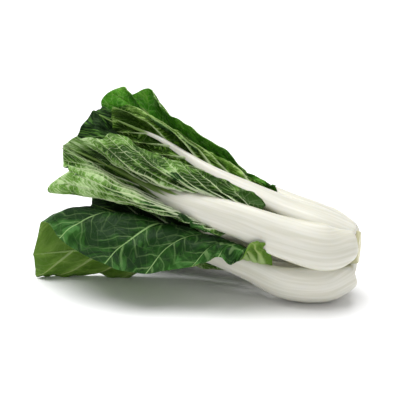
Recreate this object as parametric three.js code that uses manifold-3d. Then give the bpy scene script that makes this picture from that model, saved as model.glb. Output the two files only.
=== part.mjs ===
// A head of white-stalked bok choy lying on its side: leaves in two rings round a small heart, all
// growing from a short cut stem. Each leaf has a thick white stalk that runs on into the leaf as its
// midrib, and a thin green blade that hangs on both sides of it. The outer face of every leaf bulges
// away from the middle of the head, and the ribs of a blade stand up on that outer face.
//
// Millimetres, +Z up. The head lies along X, with the cut stem at +X, on a surface at z = 0. Leaves
// are measured from the middle of the cut stem, so their x is negative and the surface is below 0.
import * as THREE from "three";
import { mergeVertices } from "three/addons/utils/BufferGeometryUtils.js";
import Module from "manifold-3d";

const STEM_AT = [141, -5.5, 48.4]; // where the middle of the cut stem is above the surface
const STEM_RADIUS = 14; // at its cut end
const STEM_FLARE = 1.2; // of that radius, where it spreads into the feet of the stalks
const STEM_LENGTH = 22;
const STEM_SIDES = 20;
const STEM_END = 5; // how far its cut end stands past the feet of the stalks
const GAP = 0.3; // left between two pieces that press on each other
const ROOT_GAP = 0.55; // between a stalk and its blade

const OUTER_STALK = { sides: 12, steps: 18 }; // corners of a stalk's section, and sections along it
const INNER_STALK = { sides: 8, steps: 12 };
const OUTER_CURL = 30; // leaves of the outer ring are curled to a wider radius than this
const STALK_BULGE = 0.6; // share of a stalk's thickness that is on its outer face
const FOOT_TUCK = 0.8; // how far a stalk's foot is drawn in where it joins the stem
const BLADE_THICKNESS = 1.1;
const RIB_HEIGHT = 1.2; // of a side rib above the blade at its root
const RIB_TAPER = 0.8; // share of that height which it loses on its way to the margin
const PUCKER = 1.6; // how far a blade sinks between two side ribs, towards its inner face
const PAST_MIDRIB = 0.004; // how far past the midrib's end, as a share of the spine, its slit closes
const QUICK_WAVE = 2.3; // quick waves of a margin to each slow one
const QUICK_SHARE = 0.5; // of the slow wave's height
const RUFFLE_START = 0.17; // share of the margin over which its waves grow from nothing
const STEPS_PER_RIB = 3; // blade sections from one side rib to the next
const TIP_SECTIONS = 1.5; // last sections of a blade, which start past the midrib's end
const BLADE_STEPS = 5; // from midrib to margin
const SLAB_SIDE = 600; // of the block under the surface, which the stalks are pressed flat by
const SLAB_DEPTH = 40;

const GREEN = { color: 0x3f7d2e, roughness: 0.55, metalness: 0 };
const WHITE = { color: 0xeeeee2, roughness: 0.45, metalness: 0 };
const CUT = { color: 0xd6d6b8, roughness: 0.7, metalness: 0 };

const wasm = await Module();
wasm.setup();

/* ---- numbers that vary along a leaf ---- */

// A smooth curve through evenly spaced values, numbers or points, at t from 0 to 1.
function along(values, t) {
  const last = values.length - 1;
  const reach = Math.min(Math.max(t, 0), 1) * last;
  const i = Math.min(Math.floor(reach), last - 1);
  const f = reach - i;
  const blend = (a, b, c, d) =>
    b + 0.5 * f * (c - a + f * (2 * a - 5 * b + 4 * c - d + f * (3 * (b - c) + d - a)));
  const before = (v, w) => 2 * v - w;
  if (typeof values[0] === "number") {
    const b = values[i];
    const c = values[i + 1];
    return blend(i > 0 ? values[i - 1] : before(b, c), b, c, i < last - 1 ? values[i + 2] : before(c, b));
  }
  return values[0].map((_, k) => along(values.map((v) => v[k]), t));
}

const radians = (degrees) => (degrees * Math.PI) / 180;
const vec = (p) => new THREE.Vector3(...p);

/* ---- the surface of a leaf ---- */

// The spine's point at t, with the leaf's outward and sideways directions there.
function station(leaf, t) {
  const step = 1e-3;
  const at = vec(along(leaf.spine, t));
  const onSpine = Math.min(t, 1);
  const ahead = vec(along(leaf.spine, Math.min(onSpine + step, 1)));
  const behind = vec(along(leaf.spine, Math.max(onSpine - step, 0)));
  const forward = ahead.sub(behind).normalize();
  if (t > 1) at.addScaledVector(forward, (t - 1) * leaf.length);
  const turn = radians(along(leaf.facing, t));
  const out = new THREE.Vector3(0, -Math.cos(turn), Math.sin(turn));
  out.addScaledVector(forward, -out.dot(forward)).normalize();
  return { at, forward, out, side: forward.clone().cross(out) };
}

// A point beside the spine at t: y sideways from it, z towards the outer face.
function beside(leaf, t, y, z) {
  const { at, out, side } = station(leaf, t);
  return at.addScaledVector(side, y).addScaledVector(out, z);
}

// The width and thickness of a leaf's stalk or midrib at t.
const stalkWidth = (leaf, t) => along(leaf.stalk.width, t / leaf.stalk.end);
const stalkThickness = (leaf, t) => along(leaf.stalk.thick, t / leaf.stalk.end);

// The stalk is curled round the middle of the head: a point of it at distance u from its midline,
// measured round the curl, and z towards its outer face.
function onStalk(leaf, t, u, z) {
  const turn = u / leaf.stalk.curl;
  const radius = leaf.stalk.curl + z;
  return beside(leaf, t, Math.sin(turn) * radius, Math.cos(turn) * radius - leaf.stalk.curl);
}

// A half of the blade is a fan of side ribs. Each rib starts at the stalk's edge at t, the first
// number of its row, and runs through the points of the row, given as [t, y, z] beside the spine.
// s runs from the foot of the blade to its tip, and w from the stalk to the margin.
function bladePoint(leaf, sign, s, w) {
  const rows = [...(sign > 0 ? leaf.upper : leaf.lower), leaf.tip];
  const end = leaf.stalk.end + PAST_MIDRIB;
  const lastOnStalk = 1 - TIP_SECTIONS / (rows.length - 1) / STEPS_PER_RIB;
  const rootT = s > lastOnStalk && s < 1 ? end : along(rows.map((row) => row[0]), s);
  const aside = s < 1 ? sign * (stalkWidth(leaf, rootT) / 2 + ROOT_GAP) : 0;
  const root = onStalk(leaf, rootT, aside, 0);
  const guides = rows[0].slice(1).map((_, k) => {
    const [t, y, z] = along(rows.map((row) => row[k + 1]), s);
    return beside(leaf, t, sign * y, z);
  });
  const points = [root, ...guides].map((p) => p.toArray());
  return vec(along(points, w));
}

/* ---- solids ---- */

// A closed solid of a geometry that has a position attribute.
function solidOf(geometry) {
  geometry.deleteAttribute("normal").deleteAttribute("uv");
  const merged = mergeVertices(geometry, 1e-4);
  const mesh = new wasm.Mesh({
    numProp: 3,
    vertProperties: new Float32Array(merged.attributes.position.array),
    triVerts: new Uint32Array(merged.index.array),
  });
  return new wasm.Manifold(mesh);
}

// A closed solid with these corners and triangles.
function solidFrom(points, triangles) {
  const geometry = new THREE.BufferGeometry();
  geometry.setAttribute("position", new THREE.Float32BufferAttribute(points.flatMap((p) => p.toArray()), 3));
  geometry.setIndex(triangles.flat());
  return solidOf(geometry);
}

// The stalk and midrib: a crescent section, bulging on its outer face, carried along the spine.
function stalkSolid(leaf, grow = 0) {
  const { sides, steps } = leaf.stalk.curl > OUTER_CURL ? OUTER_STALK : INNER_STALK;
  const points = [];
  const triangles = [];
  for (let i = 0; i <= steps; i++) {
    const t = (leaf.stalk.end * i) / steps;
    const tuck = i ? 1 : FOOT_TUCK;
    const halfWidth = (tuck * stalkWidth(leaf, t)) / 2 + grow;
    const thick = tuck * stalkThickness(leaf, t) + 2 * grow;
    for (let k = 0; k < sides; k++) {
      const turn = (2 * Math.PI * k) / sides;
      const share = Math.sin(turn) > 0 ? STALK_BULGE : 1 - STALK_BULGE;
      points.push(onStalk(leaf, t, Math.cos(turn) * halfWidth, Math.sin(turn) * thick * share));
    }
  }
  for (let i = 0; i < steps; i++)
    for (let k = 0; k < sides; k++) {
      const a = i * sides + k;
      const b = i * sides + ((k + 1) % sides);
      const c = a + sides;
      const d = b + sides;
      triangles.push([a, d, b], [a, c, d]);
    }
  for (const i of [0, steps]) {
    const ring = i * sides;
    for (let k = 1; k < sides - 1; k++)
      triangles.push(i ? [ring, ring + k + 1, ring + k] : [ring, ring + k, ring + k + 1]);
  }
  return solidFrom(points, triangles);
}

// The direction square to a sheet at each of its points.
function normalsOf(points, triangles) {
  const normals = points.map(() => new THREE.Vector3());
  for (const [a, b, c] of triangles) {
    const ab = points[b].clone().sub(points[a]);
    const ac = points[c].clone().sub(points[a]);
    const normal = ab.cross(ac);
    for (const i of [a, b, c]) normals[i].add(normal);
  }
  return normals.map((normal) => normal.normalize());
}

// The waves along a blade's margin: a slow and a quick one, which start past the foot of the blade.
function ruffleAt(leaf, sign, s, w) {
  const turns = 2 * Math.PI * leaf.ruffle.waves * s;
  const wave = Math.sin(turns + sign) + QUICK_SHARE * Math.sin(QUICK_WAVE * turns);
  const begun = Math.sin((Math.PI / 2) * Math.min(s / RUFFLE_START, 1));
  return leaf.ruffle.height * wave * begun * w ** 3;
}

// The blade: one sheet for both halves, joined past the end of the midrib, then given its thickness.
function bladeSolid(leaf, grow = 0) {
  const n = leaf.upper.length * STEPS_PER_RIB;
  const m = BLADE_STEPS;
  const sheet = [];
  const moved = []; // how far each point is moved towards the outer face
  const raised = []; // and how much thicker the sheet is on that face
  const index = new Map();
  const vertex = (sign, i, j) => {
    const key = `${i === n ? 0 : sign},${i},${j}`;
    if (!index.has(key)) {
      index.set(key, sheet.length);
      const [s, w] = [i / n, j / m];
      const onRib = i % STEPS_PER_RIB === 0 && i > 0 && i < n;
      sheet.push(bladePoint(leaf, sign, s, w));
      moved.push(ruffleAt(leaf, sign, s, w) - (onRib ? 0 : PUCKER * Math.sin(Math.PI * w)));
      raised.push(onRib && j < m ? RIB_HEIGHT * (1 - RIB_TAPER * w) : 0);
    }
    return index.get(key);
  };
  const triangles = [];
  for (const sign of [1, -1])
    for (let i = 0; i < n; i++)
      for (let j = 0; j < m; j++) {
        const a = vertex(sign, i, j);
        const b = vertex(sign, i + 1, j);
        const c = vertex(sign, i + 1, j + 1);
        const d = vertex(sign, i, j + 1);
        if (sign > 0) triangles.push([a, c, b], [a, d, c]);
        else triangles.push([a, b, c], [a, c, d]);
      }
  const across = normalsOf(sheet, triangles);
  sheet.forEach((p, i) => p.addScaledVector(across[i], moved[i]));
  return thickened(sheet, triangles, raised, grow);
}

// A sheet given its thickness, closed by a rim along every edge that only one triangle has.
function thickened(sheet, triangles, raised, grow) {
  const normals = normalsOf(sheet, triangles);
  const count = sheet.length;
  const points = [
    ...sheet.map((p, i) => p.clone().addScaledVector(normals[i], BLADE_THICKNESS / 2 + raised[i] + grow)),
    ...sheet.map((p, i) => p.clone().addScaledVector(normals[i], -BLADE_THICKNESS / 2 - grow)),
  ];
  const faces = triangles.flatMap(([a, b, c]) => [[a, b, c], [a + count, c + count, b + count]]);
  const edges = new Set(triangles.flatMap(([a, b, c]) => [`${a},${b}`, `${b},${c}`, `${c},${a}`]));
  for (const edge of edges) {
    const [a, b] = edge.split(",").map(Number);
    if (!edges.has(`${b},${a}`)) faces.push([b, a, a + count], [b, a + count, b + count]);
  }
  return solidFrom(points, faces);
}

/* ---- the leaves ---- */

// The leaves, the outer ring first:
// spine   evenly spaced points from the foot of the stalk to the tip of the blade
// facing  where the outer face looks, in degrees round the head: 0 is -Y, 90 up, 180 +Y, -90 down
// stalk   width and thickness along it, where it ends as midrib, and the radius that it is curled to
// ruffle  height and number of the slow waves along each margin
// tip     the row that both halves of the blade end in
// upper   side ribs of the half where facing turns greater, from the foot of the blade to its tip
// lower   side ribs of the other half
const LEAVES = [
  {
    name: "front_leaf",
    spine: [
      [1, -15, 10], [-20, -36, 12], [-55, -42, 20], [-92, -44, 32], [-127, -44, 41],
      [-160, -36, 46], [-196, -22, 56], [-229, -16, 67], [-258, -13, 76],
    ],
    facing: [24, 24, 24, 22, 20, 18, 16, 12, 8],
    stalk: {
      width: [26, 40, 37, 31, 28, 21, 9, 4, 2.2],
      thick: [11, 13, 12, 10, 8, 6, 4.4, 3, 1.8],
      end: 0.92,
      curl: 38,
    },
    ruffle: { height: 2.2, waves: 4 },
    tip: [0.97, [0.98, 0, 0], [0.99, 0, 0], [1.01, 0, 0]],
    upper: [
      [0.33, [0.33, 18, -1], [0.34, 22, -4], [0.36, 26, -7]],
      [0.39, [0.45, 18, 0], [0.5, 24, -3], [0.56, 31, -5]],
      [0.45, [0.52, 15, 4], [0.58, 21, 7], [0.68, 30, 4]],
      [0.49, [0.58, 16, 7], [0.67, 21, 18], [0.82, 30, 12]],
      [0.57, [0.65, 9, 13], [0.74, 12, 25], [0.88, 21, 16]],
      [0.68, [0.76, 5, 6], [0.86, 8, 6], [0.97, 13, 3]],
    ],
    lower: [
      [0.4, [0.42, 17, 1], [0.45, 17, 1], [0.47, 17, 1]],
      [0.46, [0.52, 15, 4], [0.58, 13, 6], [0.65, 15, 7]],
      [0.49, [0.6, 11, 14], [0.73, 21, 23], [0.96, 35, 27]],
      [0.55, [0.66, 10, 21], [0.79, 13, 27], [0.93, 12, 23]],
      [0.61, [0.72, 8, 12], [0.84, 8, 11], [0.97, 14, 12]],
      [0.7, [0.8, 6, 3], [0.9, 4, 3], [1.0, 4, 4]],
    ],
  },
  {
    name: "bottom_leaf",
    spine: [
      [3, -14, -22], [-21, -26, -31], [-55, -32, -30], [-91, -28, -20], [-128, -23, -12],
      [-165, -20, -8], [-207, -21, -11], [-246, -24, -18], [-285, -29, -24],
    ],
    facing: [-36, -36, -36, -40, -46, -50, -46, -32, -10],
    stalk: {
      width: [32, 54, 49, 37, 26, 15, 8, 4, 2.2],
      thick: [11, 13, 12, 10, 8, 6, 4.4, 3, 1.8],
      end: 0.92,
      curl: 38,
    },
    ruffle: { height: 2.2, waves: 6 },
    tip: [0.97, [0.98, 0, 0], [0.99, 0, 0], [1.01, 0, 0]],
    upper: [
      [0.3, [0.31, 33, -7], [0.33, 43, -7], [0.34, 49, -7]],
      [0.33, [0.34, 34, -4], [0.35, 44, -3], [0.36, 48, -3]],
      [0.35, [0.37, 31, -4], [0.38, 41, 2], [0.39, 34, 14]],
      [0.37, [0.4, 32, -6], [0.42, 42, 3], [0.43, 38, 12]],
      [0.39, [0.42, 31, -7], [0.46, 40, 6], [0.49, 34, 24]],
      [0.45, [0.5, 33, -7], [0.57, 45, 13], [0.63, 38, 37]],
      [0.54, [0.61, 41, -8], [0.69, 52, 17], [0.75, 40, 34]],
      [0.66, [0.73, 45, -13], [0.83, 47, 5], [0.88, 39, 18]],
      [0.77, [0.83, 37, -14], [0.9, 44, -6], [0.94, 40, 3]],
    ],
    lower: [
      [0.3, [0.32, 22, -5], [0.33, 23, -8], [0.34, 22, -11]],
      [0.33, [0.35, 20, -4], [0.36, 21, -7], [0.37, 20, -10]],
      [0.37, [0.4, 18, -3], [0.42, 18, -7], [0.44, 21, -11]],
      [0.43, [0.49, 14, 1], [0.54, 21, 0], [0.58, 30, 0]],
      [0.53, [0.62, 18, 13], [0.69, 27, 15], [0.74, 39, 15]],
      [0.63, [0.73, 15, 13], [0.79, 24, 14], [0.84, 34, 9]],
      [0.76, [0.85, 12, 9], [0.91, 21, 7], [0.95, 29, 0]],
      [0.88, [0.95, 12, 7], [0.98, 18, 7], [1.01, 23, 0]],
    ],
  },
  {
    name: "top_leaf",
    spine: [
      [0, -4, 16], [-27, -10, 27], [-60, -11, 37], [-91, -11, 49], [-123, -8, 61],
      [-150, -3, 73], [-174, 0, 85], [-197, 1, 93], [-218, 3, 100],
    ],
    facing: [78, 80, 82, 82, 80, 76, 72, 68, 64],
    stalk: {
      width: [24, 36, 31, 24, 18, 12, 7, 4, 2.2],
      thick: [10, 12, 11, 9, 7, 5, 4, 3, 1.8],
      end: 0.92,
      curl: 36,
    },
    ruffle: { height: 1.5, waves: 6 },
    tip: [0.97, [0.98, 0, 0], [0.99, 0, 0], [1.01, 0, 0]],
    upper: [
      [0.31, [0.35, 14, 2], [0.38, 18, 1], [0.4, 20, -1]],
      [0.38, [0.43, 16, 2], [0.48, 20, 1], [0.52, 25, -3]],
      [0.45, [0.54, 12, 4], [0.61, 15, 4], [0.68, 21, -2]],
      [0.52, [0.61, 7, 8], [0.74, 8, 9], [0.83, 17, 3]],
      [0.58, [0.7, 5, 10], [0.84, 8, 12], [0.97, 15, 6]],
      [0.71, [0.83, 4, 9], [0.94, 5, 10], [1.02, 7, 4]],
    ],
    lower: [
      [0.42, [0.44, 12, -7], [0.46, 12, -9], [0.48, 12, -11]],
      [0.46, [0.5, 10, -4], [0.53, 10, -6], [0.58, 9, -8]],
      [0.53, [0.59, 10, -1], [0.64, 12, -5], [0.7, 10, -9]],
      [0.62, [0.68, 11, -2], [0.75, 13, -6], [0.83, 8, -10]],
      [0.7, [0.78, 9, -2], [0.84, 10, -5], [0.9, 7, -11]],
      [0.81, [0.88, 5, -2], [0.93, 6, -5], [0.97, 5, -10]],
    ],
  },
  {
    name: "ridge_leaf",
    spine: [
      [-2, 14, 11], [-30, 18, 22], [-61, 23, 30], [-95, 33, 39], [-129, 39, 49],
      [-160, 49, 61], [-186, 59, 76], [-208, 67, 90], [-224, 74, 106],
    ],
    facing: [122, 124, 126, 127, 130, 135, 142, 152, 166],
    stalk: {
      width: [24, 36, 31, 24, 18, 12, 7, 4, 2.2],
      thick: [10, 12, 11, 9, 7, 5, 4, 3, 1.8],
      end: 0.92,
      curl: 36,
    },
    ruffle: { height: 1, waves: 5 },
    tip: [0.96, [0.965, 0, 0], [0.975, 0, 0], [0.985, 0, 0]],
    upper: [
      [0.4, [0.42, 12, 5], [0.44, 13, 7], [0.46, 16, 9]],
      [0.47, [0.52, 11, 7], [0.57, 15, 10], [0.6, 19, 11]],
      [0.58, [0.64, 10, 7], [0.7, 14, 9], [0.75, 18, 15]],
      [0.68, [0.77, 11, -1], [0.86, 20, -4], [0.92, 35, -7]],
      [0.76, [0.86, 7, -1], [0.97, 18, -3], [1.05, 30, -7]],
      [0.85, [0.94, 4, 4], [1.01, 6, 4], [1.05, 7, 3]],
    ],
    lower: [
      [0.28, [0.29, 16, 3], [0.3, 16, 3], [0.32, 16, 2]],
      [0.35, [0.36, 13, 1], [0.39, 14, 2], [0.41, 17, 4]],
      [0.43, [0.46, 11, 7], [0.49, 14, 10], [0.52, 21, 13]],
      [0.52, [0.56, 11, 7], [0.61, 17, 8], [0.67, 25, 8]],
      [0.63, [0.69, 10, 4], [0.74, 18, 3], [0.8, 24, 1]],
      [0.76, [0.81, 7, 8], [0.87, 14, 10], [0.95, 17, 7]],
    ],
  },
  {
    name: "inner_top_leaf",
    spine: [
      [-16, -1, 7], [-45, -9, 17], [-79, -7, 28], [-116, -1, 41], [-152, 4, 59],
      [-191, 11, 79], [-239, 13, 102],
    ],
    facing: [52, 52, 52, 50, 46, 40, 30],
    stalk: {
      width: [16, 24, 20, 15, 9, 4, 2],
      thick: [7, 8, 7, 6, 4, 3, 1.8],
      end: 0.9,
      curl: 24,
    },
    ruffle: { height: 2.5, waves: 5 },
    tip: [0.96, [0.98, 0, 0], [1.01, 0, 0]],
    upper: [
      [0.6, [0.63, 8, -1], [0.66, 12, -5]],
      [0.7, [0.79, 6, 1], [0.84, 8, -6]],
      [0.79, [0.87, 7, 0], [0.91, 8, -6]],
      [0.85, [0.93, 9, 1], [0.98, 8, -5]],
    ],
    lower: [
      [0.56, [0.57, 12, 1], [0.59, 13, -3]],
      [0.67, [0.77, 18, 3], [0.83, 24, -3]],
      [0.76, [0.87, 19, 4], [0.94, 31, -3]],
      [0.84, [0.94, 15, 3], [1.01, 32, -1]],
    ],
  },
  {
    name: "inner_front_leaf",
    spine: [
      [-13, -7, -3], [-42, -20, -3], [-75, -25, 1], [-109, -25, 5], [-145, -24, 8],
      [-185, -23, 15], [-229, -19, 25],
    ],
    facing: [-10, -10, -10, -8, -4, 0, 4],
    stalk: {
      width: [16, 24, 20, 15, 9, 4, 2],
      thick: [7, 8, 7, 6, 4, 3, 1.8],
      end: 0.9,
      curl: 24,
    },
    ruffle: { height: 2.5, waves: 5 },
    tip: [0.96, [0.98, 0, 0], [1.02, 0, 0]],
    upper: [
      [0.48, [0.51, 9, -8], [0.54, 9, -13]],
      [0.59, [0.7, 14, -2], [0.79, 14, -9]],
      [0.7, [0.85, 14, 0], [0.96, 12, -5]],
      [0.81, [0.94, 12, -2], [1.05, 13, -8]],
    ],
    lower: [
      [0.47, [0.5, 9, 0], [0.53, 9, -2]],
      [0.58, [0.69, 5, 7], [0.76, 8, 6]],
      [0.69, [0.83, 4, 8], [0.92, 10, 8]],
      [0.8, [0.92, 3, 7], [1.03, 8, 7]],
    ],
  },
  {
    name: "back_leaf",
    spine: [
      [-1, 20, 1], [-28, 34, 4], [-60, 39, 8], [-100, 43, 16], [-140, 50, 26],
      [-178, 58, 36], [-212, 65, 44], [-240, 69, 50], [-262, 70, 54],
    ],
    facing: [180, 182, 182, 180, 178, 176, 174, 172, 170],
    stalk: {
      width: [26, 40, 34, 27, 20, 13, 8, 4, 2.2],
      thick: [11, 13, 12, 10, 8, 6, 4.4, 3, 1.8],
      end: 0.92,
      curl: 38,
    },
    ruffle: { height: 2, waves: 5 },
    tip: [0.97, [0.99, 0, 0], [1.02, 0, -1]],
    upper: [
      [0.34, [0.36, 18, -4], [0.38, 24, -8]],
      [0.4, [0.48, 22, 0], [0.54, 38, -12]],
      [0.48, [0.6, 26, 4], [0.69, 50, -12]],
      [0.58, [0.72, 27, 5], [0.83, 52, -10]],
      [0.7, [0.85, 24, 3], [0.95, 44, -6]],
      [0.82, [0.94, 14, 2], [1.02, 28, -3]],
    ],
    lower: [
      [0.3, [0.32, 19, -4], [0.34, 24, -10]],
      [0.36, [0.44, 21, -1], [0.5, 32, -12]],
      [0.45, [0.57, 22, 3], [0.66, 38, -12]],
      [0.56, [0.7, 22, 4], [0.81, 40, -12]],
      [0.68, [0.84, 20, 3], [0.95, 36, -8]],
      [0.82, [0.95, 12, 2], [1.03, 24, -4]],
    ],
  },
  {
    name: "under_leaf",
    spine: [
      [-1, 12, -21], [-27, 20, -36.5], [-58, 22, -39.5], [-96, 26, -38.5], [-134, 31, -38.5],
      [-172, 35, -39.5], [-206, 38, -41], [-234, 40, -43], [-256, 42, -44],
    ],
    facing: [238, 240, 242, 248, 256, 262, 266, 269, 270],
    stalk: {
      width: [26, 40, 35, 28, 21, 14, 8, 4, 2.2],
      thick: [11, 13, 12, 10, 8, 6, 4.4, 3, 1.8],
      end: 0.92,
      curl: 38,
    },
    ruffle: { height: 1.5, waves: 5 },
    tip: [0.97, [0.99, 0, 0], [1.02, 0, -1]],
    upper: [
      [0.36, [0.38, 15, -5], [0.4, 17, -8]],
      [0.42, [0.5, 15, -2], [0.56, 17, -5]],
      [0.5, [0.61, 15, 1], [0.7, 20, -2]],
      [0.6, [0.73, 17, 2], [0.84, 28, -2]],
      [0.7, [0.85, 16, 2], [0.96, 28, 0]],
      [0.82, [0.95, 10, 2], [1.04, 20, 0]],
    ],
    lower: [
      [0.32, [0.34, 18, -6], [0.36, 23, -12]],
      [0.38, [0.47, 22, -2], [0.53, 36, -12]],
      [0.47, [0.6, 25, 2], [0.69, 46, -10]],
      [0.58, [0.73, 25, 3], [0.84, 48, -8]],
      [0.7, [0.86, 22, 3], [0.97, 40, -3]],
      [0.82, [0.96, 13, 2], [1.05, 26, 0]],
    ],
  },
  {
    name: "inner_back_leaf",
    spine: [
      [-14, 4, 5], [-46, 13, 10], [-84, 18, 20], [-122, 23, 32],
      [-160, 30, 45], [-194, 38, 58], [-222, 44, 68],
    ],
    facing: [148, 148, 148, 150, 152, 154, 156],
    stalk: { width: [16, 24, 20, 15, 9, 4, 2], thick: [7, 8, 7, 6, 4, 3, 1.8], end: 0.9, curl: 24 },
    ruffle: { height: 2, waves: 5 },
    tip: [0.96, [0.99, 0, 0], [1.05, 0, -2]],
    upper: [
      [0.46, [0.48, 11, -4], [0.51, 13, -7]],
      [0.54, [0.64, 12, -2], [0.72, 18, -9]],
      [0.66, [0.8, 13, 0], [0.88, 23, -9]],
      [0.8, [0.93, 12, 0], [1.02, 20, -6]],
    ],
    lower: [
      [0.46, [0.48, 11, -4], [0.51, 13, -7]],
      [0.54, [0.64, 12, -2], [0.72, 17, -8]],
      [0.66, [0.8, 12, 0], [0.88, 20, -8]],
      [0.8, [0.93, 10, 0], [1.02, 17, -6]],
    ],
  },
  {
    name: "inner_under_leaf",
    spine: [
      [-14, 3, -5], [-46, 9, -14], [-84, 12, -17], [-122, 16, -15],
      [-160, 22, -10], [-196, 30, -4], [-228, 36, 2],
    ],
    facing: [240, 240, 240, 238, 234, 230, 226],
    stalk: { width: [16, 25, 20, 15, 9, 4, 2], thick: [7, 8, 7, 6, 4, 3, 1.8], end: 0.9, curl: 24 },
    ruffle: { height: 2, waves: 5 },
    tip: [0.96, [0.99, 0, 0], [1.05, 0, -2]],
    upper: [
      [0.46, [0.48, 11, -4], [0.51, 13, -7]],
      [0.54, [0.64, 12, -2], [0.72, 18, -9]],
      [0.66, [0.8, 13, 0], [0.88, 23, -9]],
      [0.8, [0.93, 12, 0], [1.02, 20, -6]],
    ],
    lower: [
      [0.46, [0.48, 11, -4], [0.51, 13, -7]],
      [0.54, [0.64, 12, -2], [0.72, 17, -8]],
      [0.66, [0.8, 13, 0], [0.88, 22, -8]],
      [0.8, [0.93, 12, 0], [1.02, 20, -6]],
    ],
  },
  {
    name: "heart_leaf",
    spine: [[-26, -3, 0], [-60, -6, 2], [-94, -6, 8], [-128, -3, 17], [-160, 1, 27], [-188, 5, 36]],
    facing: [20, 20, 20, 18, 16, 14],
    stalk: { width: [10, 13, 11, 8, 4, 2], thick: [5, 6, 5, 4, 3, 1.8], end: 0.88, curl: 14 },
    ruffle: { height: 1.5, waves: 5 },
    tip: [0.94, [0.98, 0, 0], [1.04, 0, -1]],
    upper: [
      [0.5, [0.52, 7, -4], [0.55, 9, -6]],
      [0.6, [0.71, 9, -2], [0.78, 15, -7]],
      [0.74, [0.87, 9, 0], [0.97, 15, -5]],
    ],
    lower: [
      [0.5, [0.52, 7, -4], [0.55, 9, -6]],
      [0.6, [0.71, 9, -2], [0.78, 15, -7]],
      [0.74, [0.87, 9, 0], [0.97, 15, -5]],
    ],
  },
  {
    name: "young_leaf",
    spine: [[-26, 4, 0], [-60, 5, 1], [-92, 7, 5], [-122, 11, 12], [-150, 16, 20], [-174, 21, 27]],
    facing: [200, 200, 200, 200, 198, 196],
    stalk: { width: [9, 12, 10, 7, 4, 2], thick: [5, 6, 5, 4, 3, 1.8], end: 0.88, curl: 14 },
    ruffle: { height: 1.5, waves: 5 },
    tip: [0.94, [0.98, 0, 0], [1.04, 0, -1]],
    upper: [
      [0.5, [0.52, 7, -4], [0.55, 9, -6]],
      [0.6, [0.71, 8, -2], [0.78, 12, -6]],
      [0.74, [0.87, 8, 0], [0.97, 12, -4]],
    ],
    lower: [
      [0.5, [0.52, 7, -4], [0.55, 9, -6]],
      [0.6, [0.71, 8, -2], [0.78, 12, -6]],
      [0.74, [0.87, 8, 0], [0.97, 12, -4]],
    ],
  },
];

/* ---- the head ---- */

const head = new THREE.Group();
head.name = "bok_choy";
head.position.set(...STEM_AT);

// The stalks that the head rests on are flat where they meet the surface.
const below = new THREE.BoxGeometry(SLAB_SIDE, SLAB_SIDE, SLAB_DEPTH);
below.translate(0, 0, -STEM_AT[2] - SLAB_DEPTH / 2);
const taken = [solidOf(below)]; // everything placed so far, grown by the gap, and the surface

// Adds a solid to the head, cut back from everything that is already there.
function place(name, solid, grown, finish) {
  let cut = solid;
  for (const other of taken) cut = cut.subtract(other);
  if (grown) taken.push(grown);
  const [largest] = cut.decompose().sort((a, b) => b.volume() - a.volume());
  const { numProp, vertProperties, triVerts } = largest.getMesh();
  const geometry = new THREE.BufferGeometry();
  geometry.setAttribute("position", new THREE.BufferAttribute(vertProperties, numProp));
  geometry.setIndex(new THREE.BufferAttribute(triVerts, 1));
  const mesh = new THREE.Mesh(geometry, new THREE.MeshStandardMaterial(finish));
  mesh.name = name;
  head.add(mesh);
}

for (const leaf of LEAVES)
  leaf.length = leaf.spine.reduce((sum, p, i, all) => (i ? sum + vec(p).distanceTo(vec(all[i - 1])) : 0), 0);
for (const leaf of LEAVES)
  place(leaf.name + "_stalk", stalkSolid(leaf), stalkSolid(leaf, GAP), WHITE);
for (const leaf of LEAVES)
  place(leaf.name + "_blade", bladeSolid(leaf), bladeSolid(leaf, GAP), GREEN);

// The cut stem, a short cone that fills the space between the feet of the stalks.
const spread = STEM_RADIUS * STEM_FLARE;
const cone = new THREE.CylinderGeometry(STEM_RADIUS, spread, STEM_LENGTH, STEM_SIDES).toNonIndexed();
cone.rotateZ(-Math.PI / 2).translate(STEM_END - STEM_LENGTH / 2, 0, 0);
place("cut_stem", solidOf(cone), null, CUT);

export default head;
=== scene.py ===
import math

import bmesh
import bpy
import numpy as np
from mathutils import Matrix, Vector


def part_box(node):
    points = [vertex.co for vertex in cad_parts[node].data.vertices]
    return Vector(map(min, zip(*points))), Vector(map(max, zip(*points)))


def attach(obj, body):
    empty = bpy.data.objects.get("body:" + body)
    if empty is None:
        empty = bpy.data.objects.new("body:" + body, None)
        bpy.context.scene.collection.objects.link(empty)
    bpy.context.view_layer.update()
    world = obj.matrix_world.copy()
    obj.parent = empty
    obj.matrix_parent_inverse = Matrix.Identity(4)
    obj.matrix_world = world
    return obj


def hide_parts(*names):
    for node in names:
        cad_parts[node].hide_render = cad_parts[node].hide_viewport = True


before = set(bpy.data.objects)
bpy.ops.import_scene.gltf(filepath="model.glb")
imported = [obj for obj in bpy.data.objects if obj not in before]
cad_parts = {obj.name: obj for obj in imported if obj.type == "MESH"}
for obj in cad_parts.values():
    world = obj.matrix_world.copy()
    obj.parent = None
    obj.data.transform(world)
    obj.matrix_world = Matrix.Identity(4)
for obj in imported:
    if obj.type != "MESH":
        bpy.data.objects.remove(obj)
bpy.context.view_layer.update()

MM = 0.001
STEM_FACE = 5 * MM  # how far the cut stands past the feet of the stalks
stem_low, stem_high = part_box("cut_stem")
FEET = Vector((stem_high.x - STEM_FACE, (stem_low.y + stem_high.y) / 2, (stem_low.z + stem_high.z) / 2))

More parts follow.
